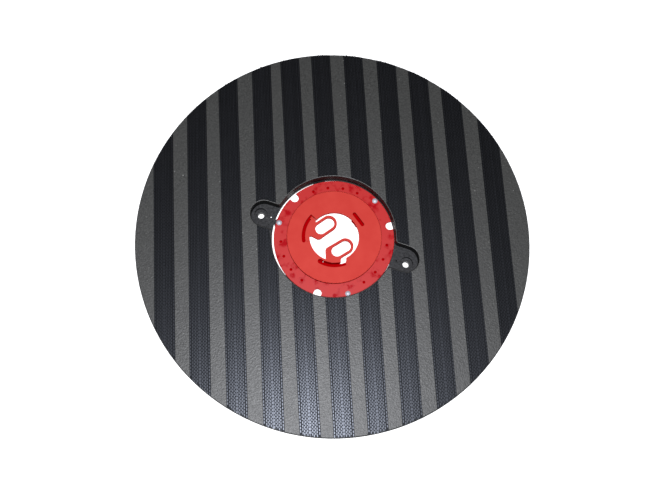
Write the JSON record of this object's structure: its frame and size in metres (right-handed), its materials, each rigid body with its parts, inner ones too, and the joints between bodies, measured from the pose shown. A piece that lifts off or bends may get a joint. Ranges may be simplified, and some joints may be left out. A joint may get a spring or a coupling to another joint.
{
  "type": "pad driver",
  "caption": "Round floor-machine pad driver with parallel hook strips on its face, a pinch-release centre lock that clamps the pad, and a drive coupling on its back.",
  "frame": {"origin": "on the turning axis, on the plane of the coupling's back that the driver rests on", "axes": "+Z is the turning axis and points out of the pad face; +Y runs along the hook strips; +X runs across them"},
  "size_m": [0.3999, 0.4, 0.026],
  "materials": {
    "board_plastic": "fine-textured moulded polypropylene, dark grey",
    "hook_tape": "black nylon hook tape",
    "coupling_plastic": "black glass-filled nylon, slightly satin",
    "zinc_steel": "zinc-plated steel",
    "brass": "turned brass",
    "seat_plastic": "glossy moulded red plastic",
    "rivet_aluminium": "domed rivet heads, satin",
    "lid_plastic": "fine matte moulded red plastic"
  },
  "bodies": {
    "driver": {"board": "board_plastic", "hook_strip_01": "hook_tape", "hook_strip_02": "hook_tape", "hook_strip_03": "hook_tape", "hook_strip_04": "hook_tape", "hook_strip_05": "hook_tape", "hook_strip_06": "hook_tape", "hook_strip_07": "hook_tape", "hook_strip_08": "hook_tape", "hook_strip_09": "hook_tape", "hook_strip_10": "hook_tape", "hook_strip_11": "hook_tape", "drive_coupling": "coupling_plastic", "coupling_screws": "zinc_steel", "threaded_inserts": "brass", "lock_seat": "seat_plastic", "seat_rivets": "rivet_aluminium"},
    "lid": {"lock_lid": "lid_plastic"},
    "left_latch": {"latch_arm_left": "lid_plastic"},
    "right_latch": {"latch_arm_right": "lid_plastic"}
  },
  "joints": [
    {"name": "lid_lift", "type": "slide", "parent": "driver", "child": "lid", "axis": [0, 0, 1], "range_m": [0, 0.045]},
    {"name": "left_pinch", "type": "hinge", "parent": "lid", "child": "left_latch", "pos_m": [-0.02656, -0.00143, 0.01935], "axis": [0, 0, -1], "range_deg": [-2.5, 4], "stiffness_Nm_per_rad": 0.6},
    {"name": "right_pinch", "type": "hinge", "parent": "lid", "child": "right_latch", "pos_m": [-0.01243, -0.02255, 0.01935], "axis": [0, 0, 1], "range_deg": [-2.5, 4], "stiffness_Nm_per_rad": 0.6}
  ]
}
